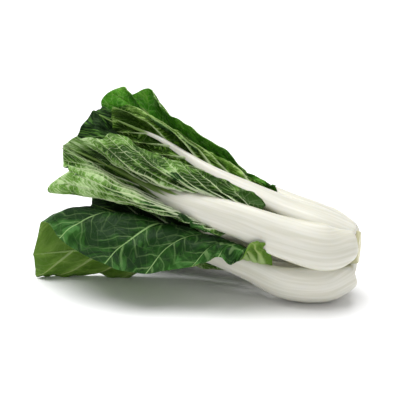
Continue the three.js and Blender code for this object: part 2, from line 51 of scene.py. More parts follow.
# ---- studio ----
# A plain floor of white paper, one wide soft light overhead, a little to the left and behind, pale
# surroundings, and a long lens that looks down on the head from its side.
VIEW_TURN = math.radians(14)
VIEW_DOWN = math.radians(20)
VIEW_DISTANCE = 0.967
VIEW_LEFT_OF_FEET = 0.134
VIEW_ABOVE_FEET = 0.0409
LENS_MM = 100
SENSOR_MM = 36
FLOOR_HALF = 60
LIGHT_WIDTH = math.radians(58)
LIGHT_FROM_BEHIND = math.radians(3)
LIGHT_FROM_LEFT = math.radians(13)

view_right = Vector((math.cos(VIEW_TURN), math.sin(VIEW_TURN), 0))
view_ahead = Vector((-math.sin(VIEW_TURN), math.cos(VIEW_TURN), 0)) * math.cos(VIEW_DOWN)
view_ahead.z = -math.sin(VIEW_DOWN)
view_up = view_right.cross(view_ahead)
camera = bpy.data.objects.new("camera", bpy.data.cameras.new("camera"))
camera.data.lens = LENS_MM
camera.data.sensor_width = SENSOR_MM
camera.data.clip_end = 200
aim = FEET - view_right * VIEW_LEFT_OF_FEET + view_up * VIEW_ABOVE_FEET
camera.location = aim - view_ahead * VIEW_DISTANCE
camera.rotation_euler = view_ahead.to_track_quat("-Z", "Y").to_euler()
bpy.context.scene.collection.objects.link(camera)
bpy.context.scene.camera = camera
bpy.context.scene.view_settings.view_transform = "Standard"

bm = bmesh.new()
bmesh.ops.create_grid(bm, x_segments=1, y_segments=1, size=FLOOR_HALF)
floor = bpy.data.objects.new("floor", bpy.data.meshes.new("floor"))
bm.to_mesh(floor.data)
bm.free()
bpy.context.scene.collection.objects.link(floor)
paper = bpy.data.materials.new("white paper")
paper.use_nodes = True
paper_finish = paper.node_tree.nodes["Principled BSDF"].inputs
paper_finish["Base Color"].default_value = (0.97, 0.97, 0.98, 1)
paper_finish["Roughness"].default_value = 0.7
paper_finish["Specular IOR Level"].default_value = 0.2
floor.data.materials.append(paper)

world = bpy.data.worlds.new("studio")
bpy.context.scene.world = world
world.use_nodes = True
surroundings = world.node_tree.nodes["Background"].inputs
surroundings["Color"].default_value = (1, 1, 1, 1)
surroundings["Strength"].default_value = 0.52

sun = bpy.data.objects.new("overhead light", bpy.data.lights.new("overhead light", "SUN"))
sun.data.energy = 3.5
sun.data.angle = LIGHT_WIDTH
sun.rotation_euler = (-LIGHT_FROM_BEHIND, -LIGHT_FROM_LEFT, 0)
bpy.context.scene.collection.objects.link(sun)

# ---- front leaf ----
# The outer leaf nearest to the viewer: living leaf tissue, grown from the stem in one piece. Its
# stalk bulges towards the front, and its blade shows the pale, deeply crinkled underside, with
# white ribs that fan out of the end of the stalk.
STEP = 1e-3  # between nearby places on a leaf, whose difference gives a direction
LATTICE_SIZE = 256
LATTICE_START = 100  # where on the lattice the origin of a pattern lies
LATTICE = np.random.default_rng(7).random((LATTICE_SIZE, LATTICE_SIZE)) * 2 - 1


def curve(a, b, c, d, share):
    """A smooth curve from b to c, at a share of the way, that comes from a and goes on to d."""
    cubic = 3 * (b - c) + d - a
    return b + 0.5 * share * (c - a + share * (2 * a - 5 * b + 4 * c - d + share * cubic))


def with_ends(points):
    """Points in a row, with one more beyond each end."""
    return np.concatenate([[2 * points[0] - points[1]], points, [2 * points[-1] - points[-2]]])


def smooth(values, t):
    """A smooth curve through evenly spaced values, at every t from 0 to 1."""
    values = np.asarray(values, float)
    last = len(values) - 1
    reach = np.clip(t, 0, 1) * last
    i = np.minimum(reach.astype(int), last - 1)
    share = reach - i
    if values.ndim > 1:
        share = share[:, None]
    ends = with_ends(values)
    return curve(*(ends[i + k] for k in range(4)), share)


def unit(vectors):
    return vectors / np.maximum(np.linalg.norm(vectors, axis=1, keepdims=True), 1e-9)


def cloud(x, y, size):
    """Soft random heights from -1 to 1, with hills about one size across."""
    x, y = x / size + LATTICE_START, y / size + LATTICE_START
    i, j = np.floor(x).astype(int), np.floor(y).astype(int)
    f, g = x - i, y - j
    f, g = f * f * (3 - 2 * f), g * g * (3 - 2 * g)

    def height(a, b):
        return LATTICE[a % LATTICE_SIZE, b % LATTICE_SIZE]

    near = height(i, j) * (1 - f) + height(i + 1, j) * f
    far = height(i, j + 1) * (1 - f) + height(i + 1, j + 1) * f
    return near * (1 - g) + far * g


def beside(leaf, t, y, z):
    """Points beside a leaf's spine at t: y sideways from it, z towards the outer face."""
    spine = np.array(leaf["spine"], float)
    on_spine = np.minimum(t, 1)
    forward = unit(smooth(spine, on_spine + STEP) - smooth(spine, on_spine - STEP))
    length = np.linalg.norm(np.diff(spine, axis=0), axis=1).sum()
    at = smooth(spine, t) + forward * (np.maximum(t - 1, 0) * length)[:, None]
    turn = np.radians(smooth(leaf["facing"], t))
    out = np.stack([0 * turn, -np.cos(turn), np.sin(turn)], axis=1)
    out = unit(out - forward * (out * forward).sum(1, keepdims=True))
    side = np.cross(forward, out)
    return at + side * y[:, None] + out * z[:, None]


MIDRIB_TIP = 0.8  # width of a midrib where it fades out


def stalk_size(leaf, key, t):
    """The width or thickness of a stalk at t, which runs on as a fading midrib to the tip."""
    stalk = leaf["stalk"]
    fade = np.clip((t - stalk["end"]) / (1 - stalk["end"]), 0, 1)
    return smooth(stalk[key], t / stalk["end"]) * (1 - fade) + MIDRIB_TIP * fade


def on_stalk(leaf, t, u, z):
    """Points of a stalk, which is curled round the middle of the head: u is measured round the curl."""
    curl = leaf["stalk"]["curl"]
    return beside(leaf, t, np.sin(u / curl) * (curl + z), np.cos(u / curl) * (curl + z) - curl)


BLADE_ROOT_IN = 1.4  # how far a blade runs into the side of its stalk
BLADE_ROOT_OFF = 0.1  # how far from the middle of a midrib it stays
TIP_CLOSES = 12  # the halves of a blade close up in the last twelfth


def blade_points(leaf, half, s, w):
    """Points of half a blade, a fan of side ribs: s from its foot to its tip, w from stalk to margin."""
    rows = leaf["upper" if half > 0 else "lower"] + [leaf["tip"]]
    root_t = smooth([row[0] for row in rows], s)
    aside = np.maximum(stalk_size(leaf, "width", root_t) / 2 - BLADE_ROOT_IN, BLADE_ROOT_OFF)
    aside *= np.clip((1 - s) * TIP_CLOSES, 0, 1)
    ribs = [on_stalk(leaf, root_t, half * aside, 0 * s)]
    for k in range(1, len(rows[0])):
        t, y, z = smooth([row[k] for row in rows], s).T
        ribs.append(beside(leaf, t, half * y, z))
    ribs = with_ends(np.stack(ribs))
    last = len(rows[0]) - 1
    reach = w * last
    i = np.minimum(reach.astype(int), last - 1)
    each = np.arange(len(s))
    return curve(*(ribs[i + k, each] for k in range(4)), (reach - i)[:, None])


def grid_mesh(name, across, lengthwise):
    """A flat mesh of squares, 1 by 1, whose two coordinates a leaf's surface is worked out from."""
    bm = bmesh.new()
    bmesh.ops.create_grid(bm, x_segments=across, y_segments=lengthwise, size=0.5)
    bmesh.ops.translate(bm, verts=bm.verts, vec=(0.5, 0.5, 0))
    mesh = bpy.data.meshes.new(name)
    bm.to_mesh(mesh)
    bm.free()
    return mesh


def coordinates(mesh):
    flat = np.empty(len(mesh.vertices) * 3, np.float32)
    mesh.vertices.foreach_get("co", flat)
    return flat.reshape(-1, 3).astype(float)


def set_places(mesh, leaf_points):
    """Moves a mesh's points to a leaf's, given in millimetres from the feet of the stalks."""
    places = leaf_points * MM + np.array(FEET)
    places[:, 2] = np.maximum(places[:, 2], 0)  # what would sink into the surface is pressed flat
    mesh.vertices.foreach_set("co", places.astype(np.float32).ravel())


def set_values(mesh, **values):
    """Keeps values at the mesh's points, for the skins to read."""
    for name, value in values.items():
        made = mesh.attributes.new(name, "FLOAT", "POINT")
        made.data.foreach_set("value", np.asarray(value, np.float32))


MAP_UNIT = 10  # millimetres


def set_flat_map(mesh, x, y):
    """A map of the leaf laid flat, in centimetres, that the pattern of its skin follows."""
    corner = np.empty(len(mesh.loops), int)
    mesh.loops.foreach_get("vertex_index", corner)
    layer = mesh.uv_layers.new(name="flat")
    places = np.stack([x, y], axis=1)[corner] / MAP_UNIT
    layer.data.foreach_set("uv", places.astype(np.float32).ravel())


def finished(mesh, materials, slot):
    """The mesh as a piece of the head, that dresses the part of the same name."""
    piece = bpy.data.objects.new(mesh.name, mesh)
    bpy.context.scene.collection.objects.link(piece)
    for material in materials:
        mesh.materials.append(material)
    mesh.shade_smooth()
    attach(piece, "root")
    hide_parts(slot)
    return piece


LENGTHWISE = 1.3  # squares of a blade's mesh along the margin, to one across
LEAF_MM = 250  # length of a leaf on the map
MAP_MIDRIB = 4  # how far from its middle line a blade starts there
SEED_X, SEED_Y = 37, 91  # how far apart the patterns of two leaves are taken
RIB_STEPS = 10  # in which the length of a side rib is measured
RIB_LEAN = 35  # degrees between a side rib and the midrib, on the map, at the tip
RIB_LEAN_FOOT = 20  # degrees more at the foot
RIB_HEIGHT = 1.5  # of a side rib at its root
THIN_RIB = 0.5  # width of the side ribs between the main ones, to one of those
RIB_FLARE = 3  # how much a side rib widens at its root, in its own widths
BRANCH_LEAN = 0.75  # millimetres that a small vein runs back, for one away from its rib
BRANCH_BEND = 5  # how far the small veins wander
BRANCH_SHAKE = 1.8  # and how far they do so in short turns
CRUMPLE = 0.9  # height of the short random relief, in crinkles
SWELL = 2.0  # height of the wide random relief, in crinkles
SHORT, MIDDLING, WIDE, PATCH = 5, 13, 15, 21  # sizes of the hills in random patterns
ROOMY = 13  # millimetres between two ribs where the skin between them crinkles in full
LEAST_CRINKLE = 0.25  # how much of its relief the skin keeps where ribs crowd
SLIT_REACH = 0.4  # how far, with w, the painted shade between the roots of the ribs reaches out
RUFFLE_BEGINS = 0.17  # how far from its foot, with s, a margin ruffles in full
QUICK_WAVE = 2.3  # waves of a ruffle's second wave to one of its first
FRILL_SIZE = 6.5
NOTCH = 0.6  # depth of the notches in a margin, in frills
NOTCH_SIZE = 12
MARGIN_MM = 260  # length of a margin, for its notches
FOOT_CURL = 9  # how quickly, with s, the curls of a blade's starting edge fade
FOOT_HEIGHT = 4.0  # of those curls, in frills


def half_blade(leaf, half, detail):
    """Half of a blade as a mesh: the fan of ribs, then the relief of its outer face."""
    steps = detail
    ribs = len(leaf["upper"]) * leaf["ribs"]
    rows = 2 * ribs * max(round(LENGTHWISE / 2 * steps / ribs), 1)  # so that a row runs along each rib
    mesh = grid_mesh(leaf["name"] + "_half", steps, rows)
    s, w = coordinates(mesh)[:, [1, 0]].T
    sheet = blade_points(leaf, half, s, w)
    along_margin = blade_points(leaf, half, s + STEP, w) - blade_points(leaf, half, s - STEP, w)
    outwards = blade_points(leaf, half, s, w + STEP) - blade_points(leaf, half, s, w - STEP)
    normal = unit(np.cross(outwards, along_margin) * half)

    # Where each point is on its rib: rib_mm from the stalk, off_mm from the middle of the nearest rib.
    on_rib = [blade_points(leaf, half, s, w * k / RIB_STEPS) for k in range(RIB_STEPS + 1)]
    rib_mm = sum(np.linalg.norm(b - a, axis=1) for a, b in zip(on_rib, on_rib[1:]))
    nearest = np.clip(np.round(s * ribs), 1, ribs)
    apart_mm = np.linalg.norm(along_margin, axis=1) / (2 * STEP) / ribs
    off_mm = np.abs(s * ribs - nearest) * apart_mm

    # Where it is on the map. Each leaf reads the random patterns at places of its own, and so does
    # each kind of relief.
    side_rows = leaf["upper" if half > 0 else "lower"] + [leaf["tip"]]
    root_mm = smooth([row[0] for row in side_rows], s) * LEAF_MM
    lean = np.radians(RIB_LEAN + RIB_LEAN_FOOT * (1 - s))
    x = root_mm + rib_mm * np.cos(lean) + SEED_X * leaf["seed"]
    y = half * (rib_mm * np.sin(lean) + MAP_MIDRIB) + SEED_Y * leaf["seed"]

    # Side ribs stand up, smaller veins branch from them, and the skin sinks in cells between those.
    rib_width = leaf["rib_width"] * np.where(nearest % leaf["ribs"], THIN_RIB, 1)
    rib_width *= (1 + RIB_FLARE * (1 - w) ** 2.5) * (1 - 0.6 * w) * np.clip((1 - s) * 4, 0.25, 1)
    off_rib = off_mm / rib_width
    clear = np.clip(off_rib / 1.6, 0, 1) ** 1.5  # 0 on a rib, 1 where the skin is clear of it
    past_root = np.clip(w * 5, 0, 1)
    wander = BRANCH_BEND * cloud(x, y, WIDE) + BRANCH_SHAKE * cloud(x, y, SHORT)
    cell = (rib_mm - BRANCH_LEAN * off_mm + wander) / leaf["cell"]
    vein = 0.8 * np.exp(-off_mm / leaf["cell"]) * clear * past_root
    sunk = np.abs(np.sin(np.pi * cell)) ** 0.7 * clear * past_root
    panel = np.sin(np.pi * np.clip(np.abs(s * ribs - nearest), 0, 0.5)) ** 2
    relief = -leaf["crinkle"] * sunk - leaf["pucker"] * panel * np.sin(np.pi * w**0.7)
    relief += leaf["crinkle"] * CRUMPLE * cloud(x, y, SHORT) * clear
    relief += leaf["crinkle"] * SWELL * cloud(x + 50, y, MIDDLING) * np.clip(w * 3, 0, 1)

    # Painted light: what stands up is painted paler, a painted highlight on the crests, and the skin is
    # painted darkest between the roots of the ribs, painted shade of the sunk clefts there. Random
    # patches of paler and darker tone are added, and the tone rises a little towards the margin.
    high = 0.5 + 0.6 * relief / (leaf["crinkle"] * 2 + leaf["pucker"] * 0.5)
    high += leaf["patchy"] * cloud(x, y + 70, PATCH)
    high += leaf["slit_shade"] * (0.15 * w**2 - np.clip(1 - w / SLIT_REACH, 0, 1) * clear)

    # Where the ribs crowd, the relief is lower. It fades out at the margin, and so do the ribs.
    roomy = np.clip(apart_mm / ROOMY, LEAST_CRINKLE, 1)
    relief = relief * roomy * (1 - w**6) + RIB_HEIGHT * np.exp(-(off_rib**2)) * (1 - w**3)

    # The margin ruffles, in a slow and a quick wave and a fine frill, and has shallow notches.
    turns = 2 * np.pi * leaf["ruffle"]["waves"] * s
    begun = np.sin(np.pi / 2 * np.clip(s / RUFFLE_BEGINS, 0, 1)) * np.clip((1 - s) * 8, 0, 1)
    waves = np.sin(turns + half) + 0.5 * np.sin(QUICK_WAVE * turns)
    relief += leaf["ruffle"]["height"] * waves * w**3
    relief += leaf["frill"] * cloud(x, y + 40, FRILL_SIZE) * w**5
    relief *= begun
    notch = leaf["frill"] * NOTCH * (cloud(s * MARGIN_MM, y * 0, NOTCH_SIZE) - 1) * w**4 * begun

    # The edge that the blade starts with is short, curly and uneven.
    at_foot = FOOT_HEIGHT * leaf["frill"] * np.exp(-((s * FOOT_CURL) ** 2)) * np.clip(w * 3 - 0.4, 0, 1)
    uneven = at_foot * cloud(rib_mm + 17 * leaf["seed"], 0 * w, SHORT)
    relief += at_foot * cloud(rib_mm, 0 * w + 9 * leaf["seed"], SHORT)

    points = sheet + normal * relief[:, None] + unit(outwards) * notch[:, None]
    set_places(mesh, points + unit(along_margin) * uneven[:, None])
    set_values(mesh, off_rib=off_rib, vein=vein, cell=cell, aside=s * ribs)
    # The painted highlight and shade, with the random patches, go to the skins with the other values.
    set_values(mesh, edge=w, high=high, roomy=roomy**0.4)
    set_flat_map(mesh, x, y)
    if half < 0:
        mesh.flip_normals()
    return mesh


BLADE_THICK = 0.8


def blade(leaf, detail, skins):
    """A whole blade: its two halves, meeting at the tip, given the thickness of a leaf. The skins are
    those of its outer face, which is its underside, and of its inner face."""
    halves = [half_blade(leaf, half, detail) for half in (1, -1)]
    bm = bmesh.new()
    for mesh in halves:
        bm.from_mesh(mesh)
    bmesh.ops.remove_doubles(bm, verts=bm.verts, dist=1e-5)
    mesh = bpy.data.meshes.new(leaf["name"] + "_blade_skin")
    bm.to_mesh(mesh)
    bm.free()
    for half in halves:
        bpy.data.meshes.remove(half)
    piece = finished(mesh, skins, leaf["name"] + "_blade")
    walls = piece.modifiers.new("thickness", "SOLIDIFY")
    walls.thickness = BLADE_THICK * MM
    walls.offset = -1
    walls.material_offset = 1


STALK_AROUND, STALK_AROUND_QUICK = 46, 24  # squares of a stalk's mesh round its section
STALK_BULGE = 0.6  # share of a stalk's thickness on its outer face
STALK_REACH = 0.985  # how far along the spine a midrib runs
FOOT_TUCK = 0.82  # share of its full size that a stalk's foot has where it joins the stem
FOOT_SHARE = 0.03  # share of the leaf's length over which the foot reaches its full size
MIDRIB_SHARE = 0.2  # share of it over which a stalk turns into a midrib
RIDGE_SIZE, WIDE_RIDGE_SIZE = 2.2, 6  # of the lengthwise ridges in a stalk's skin
RIDGE_OUTSIDE, RIDGE_INSIDE = 0.28, 0.1  # height of both, on the outer face and the inner one


def stalk(leaf, detail, skin):
    """A stalk and midrib: a crescent section, ribbed lengthwise, closed at its foot and its tip."""
    around = STALK_AROUND
    mesh = grid_mesh(leaf["name"] + "_stalk_skin", around, detail)
    turn, t = coordinates(mesh)[:, :2].T
    turn = turn * 2 * np.pi
    t = t * STALK_REACH
    outer = np.sin(turn) >= 0
    tuck = FOOT_TUCK + (1 - FOOT_TUCK) * np.sqrt(1 - (1 - np.clip(t / FOOT_SHARE, 0, 1)) ** 2)
    u = np.cos(turn) * (stalk_size(leaf, "width", t) / 2 * tuck)
    thick = stalk_size(leaf, "thick", t) * tuck * np.where(outer, STALK_BULGE, 1 - STALK_BULGE)
    in_blade = np.clip((t - leaf["upper"][0][0]) / MIDRIB_SHARE, 0, 1)
    height = np.abs(np.sin(turn)) ** (0.9 + 0.9 * in_blade)  # a midrib's section is sharper
    ridges = 0.6 * cloud(u + 50 * leaf["seed"], t * 10, RIDGE_SIZE)
    ridges += cloud(u, t * 12 + 9 * leaf["seed"], WIDE_RIDGE_SIZE)
    z = np.where(outer, thick, -thick) + np.where(outer, RIDGE_OUTSIDE, RIDGE_INSIDE) * ridges
    set_places(mesh, on_stalk(leaf, t, u, z * height))
    # Painted shade: where the skin is painted darker and yellower, along both edges of the outer face,
    # where the stalks crowd each other, and over all the inner face.
    crease = np.clip(np.abs(np.cos(turn)) * 6 - 5.2, 0, 1) * np.clip(1.2 - in_blade, 0, 1)
    set_values(mesh, crease=np.where(outer, crease * 0.6, 0.4), foot=t - leaf["white_to"])
    set_flat_map(mesh, t * LEAF_MM + 31 * leaf["seed"], u)
    bm = bmesh.new()
    bm.from_mesh(mesh)
    bmesh.ops.remove_doubles(bm, verts=bm.verts, dist=1e-6)
    bmesh.ops.holes_fill(bm, edges=[edge for edge in bm.edges if edge.is_boundary], sides=0)
    bmesh.ops.recalc_face_normals(bm, faces=bm.faces)
    bm.to_mesh(mesh)
    bm.free()
    finished(mesh, [skin], leaf["name"] + "_stalk")


class Skin:
    """A new material, with short ways to add nodes, to join them and to work out values."""

    def __init__(self, name):
        self.material = bpy.data.materials.new(name)
        self.material.use_nodes = True
        self.nodes = self.material.node_tree.nodes
        self.join = self.material.node_tree.links.new
        self.shader = self.nodes["Principled BSDF"]

    def add(self, kind, **settings):
        node = self.nodes.new("ShaderNode" + kind)
        for key, value in settings.items():
            if key in node.inputs:
                node.inputs[key].default_value = value
            else:
                setattr(node, key, value)
        return node

    def value(self, key):
        """A value that the mesh holds at its points."""
        return self.add("Attribute", attribute_name=key).outputs["Fac"]

    def worked_out(self, operation, *numbers):
        """The result of an operation on numbers, each of them given or from a socket."""
        made = self.add("Math", operation=operation)
        for socket, number in zip(made.inputs, numbers):
            if isinstance(number, (int, float)):
                socket.default_value = number
            else:
                self.join(number, socket)
        return made.outputs[0]

    def ramp(self, value, none, full):
        """0 where a value is at none or before it, 1 where it is at full or past it."""
        scaled = self.add("MapRange", interpolation_type="SMOOTHSTEP")
        scaled.inputs["From Min"].default_value = none
        scaled.inputs["From Max"].default_value = full
        self.join(value, scaled.inputs["Value"])
        return scaled.outputs["Result"]

    def blended(self, share, first, second):
        """A colour between two, by a share that comes from a socket."""
        mix = self.add("Mix", data_type="RGBA")
        self.join(share, mix.inputs["Factor"])
        for socket, colour in zip((mix.inputs[6], mix.inputs[7]), (first, second)):
            if isinstance(colour, tuple):
                socket.default_value = (*colour, 1)
            else:
                self.join(colour, socket)
        return mix.outputs[2]

    def rough(self, height, strength, distance):
        """Gives the surface a fine relief."""
        bump = self.add("Bump", Strength=strength, Distance=distance)
        self.join(height, bump.inputs["Height"])
        self.join(bump.outputs["Normal"], self.shader.inputs["Normal"])


RIB_WHITE = (0.72, 0.80, 0.56)  # of the side ribs where they leave the stalk


def leaf_skin(name, greens, vein, net, branches, shine, relief, through=0.2, root=RIB_WHITE):
    """The skin of one face of a blade: three greens from the creases to the crests, the darkest painted
    shade in the creases and the palest a painted highlight on the crests, pale ribs that branch, and a
    net of veins with its scale and strength. The shine is a roughness and a gloss."""
    skin = Skin(name)
    laid_flat = skin.add("UVMap", uv_map="flat").outputs["UV"]
    wander = skin.add("TexNoise", Scale=1.6, Detail=2.0)
    skin.join(laid_flat, wander.inputs["Vector"])
    bent = skin.add("MixRGB", blend_type="LINEAR_LIGHT", Fac=0.12)
    skin.join(laid_flat, bent.inputs["Color1"])
    skin.join(wander.outputs["Color"], bent.inputs["Color2"])
    patches = skin.add("TexNoise", Scale=1.1, Detail=4.0)
    veins = skin.add("TexVoronoi", feature="DISTANCE_TO_EDGE", Scale=net[0])
    specks = skin.add("TexNoise", Scale=14.0, Detail=3.0)
    for texture in (patches, veins, specks):
        skin.join(bent.outputs["Color"], texture.inputs["Vector"])

    # Creases run from rib to rib: noise drawn out across the direction of the ribs.
    strokes = skin.add("CombineXYZ")
    skin.join(skin.worked_out("MULTIPLY", skin.value("cell"), 1.1), strokes.inputs["X"])
    skin.join(skin.worked_out("MULTIPLY", skin.value("aside"), 1.7), strokes.inputs["Y"])
    crinkles = skin.add("TexNoise", Scale=1.0, Detail=4.0, Roughness=0.62)
    skin.join(strokes.outputs["Vector"], crinkles.inputs["Vector"])
    from_crease = skin.worked_out("SUBTRACT", crinkles.outputs["Fac"], 0.5)
    crease = skin.ramp(skin.worked_out("ABSOLUTE", from_crease), 0.0, 0.14)
    depth = skin.worked_out("MULTIPLY", skin.worked_out("SUBTRACT", 1, crease), skin.value("roomy"))
    crease = skin.worked_out("SUBTRACT", 1, depth)

    # Painted light: how lit each place is painted, from random patches, from the painted highlight and
    # shade that the mesh holds, and from painted shade along the creases, as strong as relief says.
    lit = skin.worked_out("ADD", patches.outputs["Fac"], skin.value("high"))
    lit = skin.worked_out("SUBTRACT", lit, 0.55 * relief)
    lit = skin.worked_out("MULTIPLY_ADD", crease, 0.9 * relief, lit)
    green = skin.blended(skin.ramp(lit, 0.35, 0.85), greens[0], greens[1])
    green = skin.blended(skin.ramp(lit, 0.8, 1.3), green, greens[2])

    lines = skin.ramp(veins.outputs["Distance"], 0.05, 0.012)
    green = skin.blended(skin.worked_out("MULTIPLY", lines, net[1]), green, vein)
    branch = skin.ramp(skin.worked_out("PINGPONG", skin.value("cell"), 0.5), 0.09, 0.03)
    strength = skin.worked_out("MULTIPLY", skin.value("vein"), branches)
    green = skin.blended(skin.worked_out("MULTIPLY", branch, strength), green, vein)
    rib_colour = skin.blended(skin.ramp(skin.value("edge"), 0.4, 0.1), vein, root)
    green = skin.blended(skin.ramp(skin.value("off_rib"), 1.25, 0.45), green, rib_colour)
    skin.join(green, skin.shader.inputs["Base Color"])
    skin.shader.inputs["Roughness"].default_value = shine[0]
    skin.shader.inputs["Specular IOR Level"].default_value = shine[1]

    rise = skin.worked_out("MULTIPLY", specks.outputs["Fac"], 0.25)
    rise = skin.worked_out("MULTIPLY_ADD", crease, relief, rise)
    rise = skin.worked_out("MULTIPLY_ADD", lines, net[1], rise)
    skin.rough(rise, 0.9, 1.2 * MM)

    # Some light comes through from the other side.
    glow = skin.add("BsdfTranslucent")
    skin.join(green, glow.inputs["Color"])
    both = skin.add("MixShader")
    both.inputs[0].default_value = through
    skin.join(skin.shader.outputs["BSDF"], both.inputs[1])
    skin.join(glow.outputs["BSDF"], both.inputs[2])
    skin.join(both.outputs["Shader"], skin.nodes["Material Output"].inputs["Surface"])
    return skin.material


def stalk_skin(name, white, shade, crease, midrib):
    """The waxy skin of a stalk: white, with faint lengthwise streaks, a darker, yellowish crease along
    each edge and on the inner face, painted shade of the crevices between the stalks, and green where it
    runs on as the midrib."""
    skin = Skin(name)
    stretched = skin.add("Mapping")
    stretched.inputs["Scale"].default_value = (0.1, 2.4, 1)
    skin.join(skin.add("UVMap", uv_map="flat").outputs["UV"], stretched.inputs["Vector"])
    noise = skin.add("TexNoise", Scale=1.5, Detail=3.0)
    skin.join(stretched.outputs["Vector"], noise.inputs["Vector"])
    streaks = noise.outputs["Fac"]
    colour = skin.blended(skin.ramp(streaks, 0.3, 0.7), shade, white)
    # Painted shade: the crease colour, over the crevices between the stalks.
    colour = skin.blended(skin.ramp(skin.value("crease"), 0.0, 1.0), colour, crease)
    fingers = skin.worked_out("MULTIPLY_ADD", streaks, -0.45, skin.value("foot"))
    colour = skin.blended(skin.ramp(fingers, -0.20, -0.15), colour, midrib)
    skin.join(colour, skin.shader.inputs["Base Color"])
    skin.shader.inputs["Roughness"].default_value = 0.36
    skin.shader.inputs["Subsurface Weight"].default_value = 0.25
    skin.shader.inputs["Subsurface Radius"].default_value = (4 * MM, 3 * MM, 1.8 * MM)
    skin.shader.inputs["Subsurface Scale"].default_value = 1.0
    skin.rough(streaks, 0.2, 0.5 * MM)
    return skin.material


white_stalk = stalk_skin(
    "white stalk",
    white=(0.67, 0.66, 0.59),
    shade=(0.57, 0.56, 0.47),
    # the crease colour is painted shade, darker and yellower than the white
    crease=(0.56, 0.57, 0.34),
    midrib=(0.16, 0.27, 0.05),
)
sage_underside = leaf_skin(
    "sage underside",
    greens=[(0.028, 0.088, 0.006), (0.155, 0.34, 0.045), (0.52, 0.72, 0.33)],
    vein=(0.64, 0.76, 0.42),
    net=(1.6, 0.1),
    branches=1,
    shine=(0.42, 0.18),
    relief=0.5,
)
green_face = leaf_skin(
    "green upper face",
    greens=[(0.006, 0.036, 0.003), (0.020, 0.088, 0.008), (0.060, 0.190, 0.036)],
    vein=(0.34, 0.54, 0.20),
    net=(1.1, 0.06),
    branches=0.5,
    shine=(0.40, 0.15),
    relief=0.5,
)

# A leaf's table. Its spine is measured from the feet of the stalks, and at each point of it the outer
# face looks so many degrees up from the front. Widths, thicknesses, the radius that the stalk is
# curled to, the spacing of small veins (cell) and the heights of crinkles, puckers, ruffles and
# frills are in millimetres. The white of the stalk ends at white_to, a share of the spine. A row of
# the upper or the lower half is a main rib: where on the spine it starts, and then points on it,
# each given along the spine, to the side, and towards the outer face. Both halves end at the tip,
# and ribs says how many side ribs there are to a row.
front_leaf = {
    "name": "front_leaf",
    "spine": [
        [1, -15, 10], [-20, -36, 12], [-55, -42, 20], [-92, -44, 32], [-127, -44, 41],
        [-160, -36, 46], [-196, -22, 56], [-229, -16, 67], [-258, -13, 76],
    ],
    "facing": [24, 24, 24, 22, 20, 18, 16, 12, 8],
    "stalk": {
        "width": [26, 40, 37, 31, 28, 21, 9, 4, 2.2],
        "thick": [11, 13, 12, 10, 8, 6, 4.4, 3, 1.8],
        "end": 0.92,
        "curl": 38,
    },
    "ruffle": {"height": 2.2, "waves": 4},
    "seed": 1,
    "ribs": 2,
    "rib_width": 0.7,
    "cell": 5,
    "crinkle": 1.1,
    "pucker": 3.2,
    "frill": 0.8,
    "patchy": 0.6,
    "slit_shade": 0.9,
    "white_to": 0.58,
    "tip": [0.97, [0.98, 0, 0], [0.99, 0, 0], [1.01, 0, 0]],
    "upper": [
        [0.33, [0.33, 18, -1], [0.34, 22, -4], [0.36, 26, -7]],
        [0.39, [0.45, 18, 0], [0.5, 24, -3], [0.56, 31, -5]],
        [0.45, [0.52, 15, 4], [0.58, 21, 7], [0.68, 30, 4]],
        [0.49, [0.58, 16, 7], [0.67, 21, 18], [0.82, 30, 12]],
        [0.57, [0.65, 9, 13], [0.74, 12, 25], [0.88, 21, 16]],
        [0.68, [0.76, 5, 6], [0.86, 8, 6], [0.97, 13, 3]],
    ],
    "lower": [
        [0.4, [0.42, 17, 1], [0.45, 17, 1], [0.47, 17, 1]],
        [0.46, [0.52, 15, 4], [0.58, 13, 6], [0.65, 15, 7]],
        [0.49, [0.6, 11, 14], [0.73, 21, 23], [0.96, 35, 27]],
        [0.55, [0.66, 10, 21], [0.79, 13, 27], [0.93, 12, 23]],
        [0.61, [0.72, 8, 12], [0.84, 8, 11], [0.97, 14, 12]],
        [0.7, [0.8, 6, 3], [0.9, 4, 3], [1, 4, 4]],
    ],
}
stalk(front_leaf, detail=140, skin=white_stalk)
blade(front_leaf, detail=120, skins=[sage_underside, green_face])

